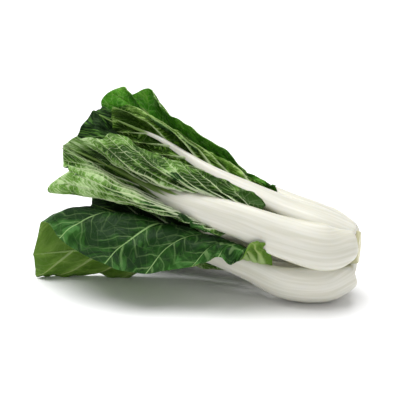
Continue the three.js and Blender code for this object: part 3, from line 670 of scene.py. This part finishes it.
# ---- bottom leaf ----
# The outer leaf that the head lies on: living leaf tissue grown from the stem in one piece.
# The front half of its blade folds over, so its dark, smooth upper face shows, with thin pale veins.
light_underside = leaf_skin(
    "light underside",
    greens=[(0.10, 0.22, 0.018), (0.17, 0.32, 0.040), (0.27, 0.44, 0.10)],
    vein=(0.38, 0.50, 0.16),
    net=(1.2, 0.1),
    branches=0.3,
    shine=(0.45, 0.15),
    relief=0.2,
    through=0.35,
    root=(0.38, 0.52, 0.20),
)
bottom_leaf = {
    "name": "bottom_leaf",
    "spine": [
        [3, -14, -22], [-21, -26, -31], [-55, -32, -30], [-91, -28, -20], [-128, -23, -12],
        [-165, -20, -8], [-207, -21, -11], [-246, -24, -18], [-285, -29, -24],
    ],
    "facing": [-36, -36, -36, -40, -46, -50, -46, -32, -10],
    "stalk": {**front_leaf["stalk"], "width": [32, 54, 49, 37, 26, 15, 8, 4, 2.2]},
    "ruffle": {"height": 2.2, "waves": 6},
    "seed": 2,
    "ribs": 1,
    "rib_width": 1.2,
    "cell": 14,
    "crinkle": 0.4,
    "pucker": 1.6,
    "frill": 0.6,
    "patchy": 0.3,
    "slit_shade": 0.2,
    "white_to": 0.65,
    "tip": [0.97, [0.98, 0, 0], [0.99, 0, 0], [1.01, 0, 0]],
    "upper": [
        [0.3, [0.31, 33, -7], [0.33, 43, -7], [0.34, 49, -7]],
        [0.33, [0.34, 34, -4], [0.35, 44, -3], [0.36, 48, -3]],
        [0.35, [0.37, 31, -4], [0.38, 41, 2], [0.39, 34, 14]],
        [0.37, [0.4, 32, -6], [0.42, 42, 3], [0.43, 38, 12]],
        [0.39, [0.42, 31, -7], [0.46, 40, 6], [0.49, 34, 24]],
        [0.45, [0.5, 33, -7], [0.57, 45, 13], [0.63, 38, 37]],
        [0.54, [0.61, 41, -8], [0.69, 52, 17], [0.75, 40, 34]],
        [0.66, [0.73, 45, -13], [0.83, 47, 5], [0.88, 39, 18]],
        [0.77, [0.83, 37, -14], [0.9, 44, -6], [0.94, 40, 3]],
    ],
    "lower": [
        [0.3, [0.32, 22, -5], [0.33, 23, -8], [0.34, 22, -11]],
        [0.33, [0.35, 20, -4], [0.36, 21, -7], [0.37, 20, -10]],
        [0.37, [0.4, 18, -3], [0.42, 18, -7], [0.44, 21, -11]],
        [0.43, [0.49, 14, 1], [0.54, 21, 0], [0.58, 30, 0]],
        [0.53, [0.62, 18, 13], [0.69, 27, 15], [0.74, 39, 15]],
        [0.63, [0.73, 15, 13], [0.79, 24, 14], [0.84, 34, 9]],
        [0.76, [0.85, 12, 9], [0.91, 21, 7], [0.95, 29, 0]],
        [0.88, [0.95, 12, 7], [0.98, 18, 7], [1.01, 23, 0]],
    ],
}
stalk(bottom_leaf, detail=140, skin=white_stalk)
blade(bottom_leaf, detail=120, skins=[light_underside, green_face])

# ---- top leaf ----
# The outer leaf on top of the head, one piece of leaf tissue grown from the stem. It is folded
# along its white midrib, and its pale ribs run steeply forward.
# Darker greens than the sage underside: partly the leaf's own olive colour, partly painted shade of the
# hollow beside its midrib.
olive_underside = leaf_skin(
    "olive underside",
    greens=[(0.016, 0.056, 0.001), (0.075, 0.19, 0.008), (0.40, 0.62, 0.17)],
    vein=(0.40, 0.58, 0.20),
    net=(1.6, 0.1),
    branches=1,
    shine=(0.55, 0.06),
    relief=0.6,
    root=(0.50, 0.62, 0.34),
)
top_leaf = {
    "name": "top_leaf",
    "spine": [
        [0, -4, 16], [-27, -10, 27], [-60, -11, 37], [-91, -11, 49], [-123, -8, 61],
        [-150, -3, 73], [-174, 0, 85], [-197, 1, 93], [-218, 3, 100],
    ],
    "facing": [78, 80, 82, 82, 80, 76, 72, 68, 64],
    "stalk": {
        "width": [24, 36, 31, 24, 18, 12, 7, 4, 2.2],
        "thick": [10, 12, 11, 9, 7, 5, 4, 3, 1.8],
        "end": 0.92,
        "curl": 36,
    },
    "ruffle": {"height": 1.5, "waves": 6},
    "seed": 3,
    "ribs": 1,
    "rib_width": 0.8,
    "cell": 5,
    "crinkle": 0.9,
    "pucker": 2.2,
    "frill": 1,
    "patchy": 0.4,
    "slit_shade": 0.3,
    "white_to": 0.8,
    "tip": [0.97, [0.98, 0, 0], [0.99, 0, 0], [1.01, 0, 0]],
    "upper": [
        [0.31, [0.35, 14, 2], [0.38, 18, 1], [0.4, 20, -1]],
        [0.38, [0.43, 16, 2], [0.48, 20, 1], [0.52, 25, -3]],
        [0.45, [0.54, 12, 4], [0.61, 15, 4], [0.68, 21, -2]],
        [0.52, [0.61, 7, 8], [0.74, 8, 9], [0.83, 17, 3]],
        [0.58, [0.7, 5, 10], [0.84, 8, 12], [0.97, 15, 6]],
        [0.71, [0.83, 4, 9], [0.94, 5, 10], [1.02, 7, 4]],
    ],
    "lower": [
        [0.42, [0.44, 12, -7], [0.46, 12, -9], [0.48, 12, -11]],
        [0.46, [0.5, 10, -4], [0.53, 10, -6], [0.58, 9, -8]],
        [0.53, [0.59, 10, -1], [0.64, 12, -5], [0.7, 10, -9]],
        [0.62, [0.68, 11, -2], [0.75, 13, -6], [0.83, 8, -10]],
        [0.7, [0.78, 9, -2], [0.84, 10, -5], [0.9, 7, -11]],
        [0.81, [0.88, 5, -2], [0.93, 6, -5], [0.97, 5, -10]],
    ],
}
stalk(top_leaf, detail=120, skin=white_stalk)
blade(top_leaf, detail=90, skins=[olive_underside, green_face])

# ---- ridge leaf ----
# The outer leaf behind the top one, grown from the far side of the stem. Its upper face makes the
# outline of the head and ends in two round lobes; it is painted brighter than the other leaves' upper
# faces, painted light from above and through it from behind.
# Painted light: brighter greens than the green upper face, for the light that falls on this leaf from
# above and comes through it from behind.
lit_face = leaf_skin(
    "lit upper face",
    greens=[(0.05, 0.25, 0.006), (0.10, 0.38, 0.015), (0.26, 0.58, 0.08)],
    vein=(0.38, 0.62, 0.20),
    net=(1.2, 0.2),
    branches=0.6,
    shine=(0.42, 0.14),
    relief=0.4,
    through=0.45,
    root=(0.38, 0.62, 0.20),
)
ridge_leaf = {
    "name": "ridge_leaf",
    "spine": [
        [-2, 14, 11], [-30, 18, 22], [-61, 23, 30], [-95, 33, 39], [-129, 39, 49],
        [-160, 49, 61], [-186, 59, 76], [-208, 67, 90], [-224, 74, 106],
    ],
    "facing": [122, 124, 126, 127, 130, 135, 142, 152, 166],
    "stalk": top_leaf["stalk"],
    "ruffle": {"height": 1, "waves": 5},
    "seed": 4,
    "ribs": 2,
    "rib_width": 0.4,
    "cell": 8,
    "crinkle": 0.5,
    "pucker": 2.2,
    "frill": 0.8,
    "patchy": 0.15,
    "slit_shade": 0.2,
    "white_to": 0.65,
    "tip": [0.96, [0.965, 0, 0], [0.975, 0, 0], [0.985, 0, 0]],
    "upper": [
        [0.4, [0.42, 12, 5], [0.44, 13, 7], [0.46, 16, 9]],
        [0.47, [0.52, 11, 7], [0.57, 15, 10], [0.6, 19, 11]],
        [0.58, [0.64, 10, 7], [0.7, 14, 9], [0.75, 18, 15]],
        [0.68, [0.77, 11, -1], [0.86, 20, -4], [0.92, 35, -7]],
        [0.76, [0.86, 7, -1], [0.97, 18, -3], [1.05, 30, -7]],
        [0.85, [0.94, 4, 4], [1.01, 6, 4], [1.05, 7, 3]],
    ],
    "lower": [
        [0.28, [0.29, 16, 3], [0.3, 16, 3], [0.32, 16, 2]],
        [0.35, [0.36, 13, 1], [0.39, 14, 2], [0.41, 17, 4]],
        [0.43, [0.46, 11, 7], [0.49, 14, 10], [0.52, 21, 13]],
        [0.52, [0.56, 11, 7], [0.61, 17, 8], [0.67, 25, 8]],
        [0.63, [0.69, 10, 4], [0.74, 18, 3], [0.8, 24, 1]],
        [0.76, [0.81, 7, 8], [0.87, 14, 10], [0.95, 17, 7]],
    ],
}
stalk(ridge_leaf, detail=120, skin=white_stalk)
blade(ridge_leaf, detail=90, skins=[sage_underside, lit_face])

# ---- inner top leaf ----
# A leaf of the inner ring, grown inside the top leaf. Only its curled and much crinkled tip looks out
# between its neighbours, and both its faces are painted dark green, painted shade of the hollow it lies
# in.
# Painted shade: a dark green that the two inner leaves lying in shade have on both faces, in place of
# the pale underside of the others.
shaded_face = leaf_skin(
    "shaded upper face",
    greens=[(0.007, 0.034, 0.003), (0.030, 0.105, 0.010), (0.10, 0.26, 0.03)],
    vein=(0.16, 0.30, 0.08),
    net=(1.4, 0.1),
    branches=0.3,
    shine=(0.5, 0.2),
    relief=1.0,
)
PLAIN_BLADE = {
    "ribs": 1,
    "rib_width": 0.8,
    "cell": 7,
    "crinkle": 0.7,
    "pucker": 2.2,
    "frill": 0.8,
    "patchy": 0.15,
    "slit_shade": 0.2,
    "white_to": 0.65,
}
inner_top_leaf = {
    "name": "inner_top_leaf",
    "spine": [
        [-16, -1, 7], [-45, -9, 17], [-79, -7, 28], [-116, -1, 41],
        [-152, 4, 59], [-191, 11, 79], [-239, 13, 102],
    ],
    "facing": [52, 52, 52, 50, 46, 40, 30],
    "stalk": {
        "width": [16, 24, 20, 15, 9, 4, 2],
        "thick": [7, 8, 7, 6, 4, 3, 1.8],
        "end": 0.9,
        "curl": 24,
    },
    "ruffle": {"height": 2.5, "waves": 5},
    "seed": 5,
    **PLAIN_BLADE,
    "crinkle": 1.6,
    "tip": [0.96, [0.98, 0, 0], [1.01, 0, 0]],
    "upper": [
        [0.6, [0.63, 8, -1], [0.66, 12, -5]],
        [0.7, [0.79, 6, 1], [0.84, 8, -6]],
        [0.79, [0.87, 7, 0], [0.91, 8, -6]],
        [0.85, [0.93, 9, 1], [0.98, 8, -5]],
    ],
    "lower": [
        [0.56, [0.57, 12, 1], [0.59, 13, -3]],
        [0.67, [0.77, 18, 3], [0.83, 24, -3]],
        [0.76, [0.87, 19, 4], [0.94, 31, -3]],
        [0.84, [0.94, 15, 3], [1.01, 32, -1]],
    ],
}
stalk(inner_top_leaf, detail=80, skin=white_stalk)
blade(inner_top_leaf, detail=48, skins=[shaded_face, shaded_face])

# ---- inner front leaf ----
# A leaf of the inner ring, grown inside the front leaf. It lies in the shade between the front leaf and
# the bottom one, and both its faces are painted dark green as painted shade.
inner_front_leaf = {
    "name": "inner_front_leaf",
    "spine": [
        [-13, -7, -3], [-42, -20, -3], [-75, -25, 1], [-109, -25, 5],
        [-145, -24, 8], [-185, -23, 15], [-229, -19, 25],
    ],
    "facing": [-10, -10, -10, -8, -4, 0, 4],
    "stalk": inner_top_leaf["stalk"],
    "ruffle": {"height": 2.5, "waves": 5},
    "seed": 6,
    **PLAIN_BLADE,
    "tip": [0.96, [0.98, 0, 0], [1.02, 0, 0]],
    "upper": [
        [0.48, [0.51, 9, -8], [0.54, 9, -13]],
        [0.59, [0.7, 14, -2], [0.79, 14, -9]],
        [0.7, [0.85, 14, 0], [0.96, 12, -5]],
        [0.81, [0.94, 12, -2], [1.05, 13, -8]],
    ],
    "lower": [
        [0.47, [0.5, 9, 0], [0.53, 9, -2]],
        [0.58, [0.69, 5, 7], [0.76, 8, 6]],
        [0.69, [0.83, 4, 8], [0.92, 10, 8]],
        [0.8, [0.92, 3, 7], [1.03, 8, 7]],
    ],
}
stalk(inner_front_leaf, detail=80, skin=white_stalk)
blade(inner_front_leaf, detail=48, skins=[shaded_face, shaded_face])

# ---- back leaf ----
# The outer leaf on the far side of the head, like the front leaf but flatter. It grows from the
# stem and its blade stands nearly upright.
back_leaf = {
    "name": "back_leaf",
    "spine": [
        [-1, 20, 1], [-28, 34, 4], [-60, 39, 8], [-100, 43, 16], [-140, 50, 26],
        [-178, 58, 36], [-212, 65, 44], [-240, 69, 50], [-262, 70, 54],
    ],
    "facing": [180, 182, 182, 180, 178, 176, 174, 172, 170],
    "stalk": {**front_leaf["stalk"], "width": [26, 40, 34, 27, 20, 13, 8, 4, 2.2]},
    "ruffle": {"height": 2, "waves": 5},
    "seed": 7,
    **PLAIN_BLADE,
    "tip": [0.97, [0.99, 0, 0], [1.02, 0, -1]],
    "upper": [
        [0.34, [0.36, 18, -4], [0.38, 24, -8]],
        [0.4, [0.48, 22, 0], [0.54, 38, -12]],
        [0.48, [0.6, 26, 4], [0.69, 50, -12]],
        [0.58, [0.72, 27, 5], [0.83, 52, -10]],
        [0.7, [0.85, 24, 3], [0.95, 44, -6]],
        [0.82, [0.94, 14, 2], [1.02, 28, -3]],
    ],
    "lower": [
        [0.3, [0.32, 19, -4], [0.34, 24, -10]],
        [0.36, [0.44, 21, -1], [0.5, 32, -12]],
        [0.45, [0.57, 22, 3], [0.66, 38, -12]],
        [0.56, [0.7, 22, 4], [0.81, 40, -12]],
        [0.68, [0.84, 20, 3], [0.95, 36, -8]],
        [0.82, [0.95, 12, 2], [1.03, 24, -4]],
    ],
}
stalk(back_leaf, detail=110, skin=white_stalk)
blade(back_leaf, detail=72, skins=[sage_underside, green_face])

# ---- under leaf ----
# The outer leaf under the far side, which the head also lies on. It grows from the stem and is
# pressed flat against the surface.
under_leaf = {
    "name": "under_leaf",
    "spine": [
        [-1, 12, -21], [-27, 20, -36.5], [-58, 22, -39.5], [-96, 26, -38.5], [-134, 31, -38.5],
        [-172, 35, -39.5], [-206, 38, -41], [-234, 40, -43], [-256, 42, -44],
    ],
    "facing": [238, 240, 242, 248, 256, 262, 266, 269, 270],
    "stalk": {**front_leaf["stalk"], "width": [26, 40, 35, 28, 21, 14, 8, 4, 2.2]},
    "ruffle": {"height": 1.5, "waves": 5},
    "seed": 8,
    **PLAIN_BLADE,
    "tip": [0.97, [0.99, 0, 0], [1.02, 0, -1]],
    "upper": [
        [0.36, [0.38, 15, -5], [0.4, 17, -8]],
        [0.42, [0.5, 15, -2], [0.56, 17, -5]],
        [0.5, [0.61, 15, 1], [0.7, 20, -2]],
        [0.6, [0.73, 17, 2], [0.84, 28, -2]],
        [0.7, [0.85, 16, 2], [0.96, 28, 0]],
        [0.82, [0.95, 10, 2], [1.04, 20, 0]],
    ],
    "lower": [
        [0.32, [0.34, 18, -6], [0.36, 23, -12]],
        [0.38, [0.47, 22, -2], [0.53, 36, -12]],
        [0.47, [0.6, 25, 2], [0.69, 46, -10]],
        [0.58, [0.73, 25, 3], [0.84, 48, -8]],
        [0.7, [0.86, 22, 3], [0.97, 40, -3]],
        [0.82, [0.96, 13, 2], [1.05, 26, 0]],
    ],
}
stalk(under_leaf, detail=110, skin=white_stalk)
blade(under_leaf, detail=72, skins=[sage_underside, green_face])

# ---- inner back leaf ----
# A leaf of the inner ring, grown between the ridge leaf and the back leaf. Only its tip shows,
# and only from behind.
inner_back_leaf = {
    "name": "inner_back_leaf",
    "spine": [
        [-14, 4, 5], [-46, 13, 10], [-84, 18, 20], [-122, 23, 32],
        [-160, 30, 45], [-194, 38, 58], [-222, 44, 68],
    ],
    "facing": [148, 148, 148, 150, 152, 154, 156],
    "stalk": inner_top_leaf["stalk"],
    "ruffle": {"height": 2, "waves": 5},
    "seed": 9,
    **PLAIN_BLADE,
    "tip": [0.96, [0.99, 0, 0], [1.05, 0, -2]],
    "upper": [
        [0.46, [0.48, 11, -4], [0.51, 13, -7]],
        [0.54, [0.64, 12, -2], [0.72, 18, -9]],
        [0.66, [0.8, 13, 0], [0.88, 23, -9]],
        [0.8, [0.93, 12, 0], [1.02, 20, -6]],
    ],
    "lower": [
        [0.46, [0.48, 11, -4], [0.51, 13, -7]],
        [0.54, [0.64, 12, -2], [0.72, 17, -8]],
        [0.66, [0.8, 12, 0], [0.88, 20, -8]],
        [0.8, [0.93, 10, 0], [1.02, 17, -6]],
    ],
}
stalk(inner_back_leaf, detail=80, skin=white_stalk)
blade(inner_back_leaf, detail=48, skins=[sage_underside, green_face])

# ---- inner under leaf ----
# A leaf of the inner ring, grown just above the under leaf. Like its neighbours it is a white
# stalk that runs into a green blade.
inner_under_leaf = {
    "name": "inner_under_leaf",
    "spine": [
        [-14, 3, -5], [-46, 9, -14], [-84, 12, -17], [-122, 16, -15],
        [-160, 22, -10], [-196, 30, -4], [-228, 36, 2],
    ],
    "facing": [240, 240, 240, 238, 234, 230, 226],
    "stalk": {**inner_top_leaf["stalk"], "width": [16, 25, 20, 15, 9, 4, 2]},
    "ruffle": {"height": 2, "waves": 5},
    "seed": 10,
    **PLAIN_BLADE,
    "tip": [0.96, [0.99, 0, 0], [1.05, 0, -2]],
    "upper": [
        [0.46, [0.48, 11, -4], [0.51, 13, -7]],
        [0.54, [0.64, 12, -2], [0.72, 18, -9]],
        [0.66, [0.8, 13, 0], [0.88, 23, -9]],
        [0.8, [0.93, 12, 0], [1.02, 20, -6]],
    ],
    "lower": [
        [0.46, [0.48, 11, -4], [0.51, 13, -7]],
        [0.54, [0.64, 12, -2], [0.72, 17, -8]],
        [0.66, [0.8, 13, 0], [0.88, 22, -8]],
        [0.8, [0.93, 12, 0], [1.02, 20, -6]],
    ],
}
stalk(inner_under_leaf, detail=80, skin=white_stalk)
blade(inner_under_leaf, detail=48, skins=[sage_underside, green_face])

# ---- heart leaf ----
# A short leaf in the middle of the head, one of the last to grow from the stem. Its stalk is pale
# and its blade is still narrow.
heart_ribs = [
    [0.5, [0.52, 7, -4], [0.55, 9, -6]],
    [0.6, [0.71, 9, -2], [0.78, 15, -7]],
    [0.74, [0.87, 9, 0], [0.97, 15, -5]],
]
heart_leaf = {
    "name": "heart_leaf",
    "spine": [
        [-26, -3, 0], [-60, -6, 2], [-94, -6, 8],
        [-128, -3, 17], [-160, 1, 27], [-188, 5, 36],
    ],
    "facing": [20, 20, 20, 18, 16, 14],
    "stalk": {
        "width": [10, 13, 11, 8, 4, 2],
        "thick": [5, 6, 5, 4, 3, 1.8],
        "end": 0.88,
        "curl": 14,
    },
    "ruffle": {"height": 1.5, "waves": 5},
    "seed": 11,
    **PLAIN_BLADE,
    "tip": [0.94, [0.98, 0, 0], [1.04, 0, -1]],
    "upper": heart_ribs,
    "lower": heart_ribs,
}
stalk(heart_leaf, detail=80, skin=white_stalk)
blade(heart_leaf, detail=48, skins=[sage_underside, green_face])

# ---- young leaf ----
# The smallest leaf of the head, folded beside the heart leaf and hidden by the others. It grows
# from the same cut stem.
young_ribs = [
    [0.5, [0.52, 7, -4], [0.55, 9, -6]],
    [0.6, [0.71, 8, -2], [0.78, 12, -6]],
    [0.74, [0.87, 8, 0], [0.97, 12, -4]],
]
young_leaf = {
    "name": "young_leaf",
    "spine": [
        [-26, 4, 0], [-60, 5, 1], [-92, 7, 5],
        [-122, 11, 12], [-150, 16, 20], [-174, 21, 27],
    ],
    "facing": [200, 200, 200, 200, 198, 196],
    "stalk": {**heart_leaf["stalk"], "width": [9, 12, 10, 7, 4, 2]},
    "ruffle": {"height": 1.5, "waves": 5},
    "seed": 12,
    **PLAIN_BLADE,
    "tip": [0.94, [0.98, 0, 0], [1.04, 0, -1]],
    "upper": young_ribs,
    "lower": young_ribs,
}
stalk(young_leaf, detail=80, skin=white_stalk)
blade(young_leaf, detail=48, skins=[sage_underside, green_face])

# ---- cut stem ----
# The short core that all the leaves grow from, cut off square with a knife. The cut is cream, a
# little rough, and drier towards its rim.
STEM_SIDES = 96
STEM_FLARE = 1.2  # of its radius, where it spreads into the feet of the stalks
STEM_RIM = 1.2 * MM
CUT_RINGS = 6  # of points in the cut, for its relief
CUT_RING = 1 / 8  # width of one, as a share of the radius
CUT_RELIEF = 0.5 * MM
CUT_HUMPS = 5  # round the cut
stem_length = stem_high.x - stem_low.x
stem_radius = (stem_high.z - stem_low.z) / 2 / STEM_FLARE
bm = bmesh.new()
bmesh.ops.create_cone(
    bm,
    cap_ends=True,
    segments=STEM_SIDES,
    radius1=stem_radius * STEM_FLARE,
    radius2=stem_radius,
    depth=stem_length,
)
rim = [edge for edge in bm.edges if all(vertex.co.z > 0 for vertex in edge.verts)]
bmesh.ops.bevel(bm, geom=rim, offset=STEM_RIM, segments=4, affect="EDGES", profile=0.5, material=-1)
cut = max(bm.faces, key=lambda face: face.calc_center_median().z)
for ring in range(CUT_RINGS):
    bmesh.ops.inset_region(bm, faces=[cut], thickness=stem_radius * CUT_RING, depth=0)
for vertex in bm.verts:
    around = math.atan2(vertex.co.y, vertex.co.x)
    from_middle = vertex.co.xy.length / stem_radius
    if vertex.co.z > stem_length / 2 - STEM_RIM / 2:
        vertex.co.z -= CUT_RELIEF * (1 - from_middle) * (1 + math.sin(CUT_HUMPS * around))
lying_down = Vector((0, 0, 1)).rotation_difference(Vector((1, 0, 0))).to_matrix()
bmesh.ops.rotate(bm, verts=bm.verts, matrix=lying_down)
bmesh.ops.translate(bm, verts=bm.verts, vec=(stem_high.x - stem_length / 2, FEET.y, FEET.z))
stem_mesh = bpy.data.meshes.new("cut_stem_core")
bm.to_mesh(stem_mesh)
bm.free()

cut_core = Skin("cut core")
place = cut_core.add("TexCoord").outputs["Object"]
noise = cut_core.add("TexNoise", Scale=420.0, Detail=5.0)
cut_core.join(place, noise.inputs["Vector"])
fibres = noise.outputs["Fac"]
centred = cut_core.add("Mapping")
centred.inputs["Location"].default_value = (0, -FEET.y, -FEET.z)
cut_core.join(place, centred.inputs["Vector"])
grown = cut_core.add("Mapping")
grown.inputs["Scale"].default_value = (0, 1 / stem_radius, 1 / stem_radius)
cut_core.join(centred.outputs["Vector"], grown.inputs["Vector"])
towards_middle = cut_core.add("TexGradient", gradient_type="SPHERICAL")
cut_core.join(grown.outputs["Vector"], towards_middle.inputs["Vector"])
cream = cut_core.blended(cut_core.ramp(fibres, 0.35, 0.65), (0.66, 0.62, 0.42), (0.80, 0.78, 0.60))
dry = cut_core.ramp(towards_middle.outputs["Fac"], 0.22, 0.05)
cream = cut_core.blended(dry, cream, (0.52, 0.50, 0.30))
cut_core.join(cream, cut_core.shader.inputs["Base Color"])
cut_core.shader.inputs["Roughness"].default_value = 0.62
cut_core.rough(fibres, 0.5, 0.5 * MM)
finished(stem_mesh, [cut_core.material], "cut_stem")
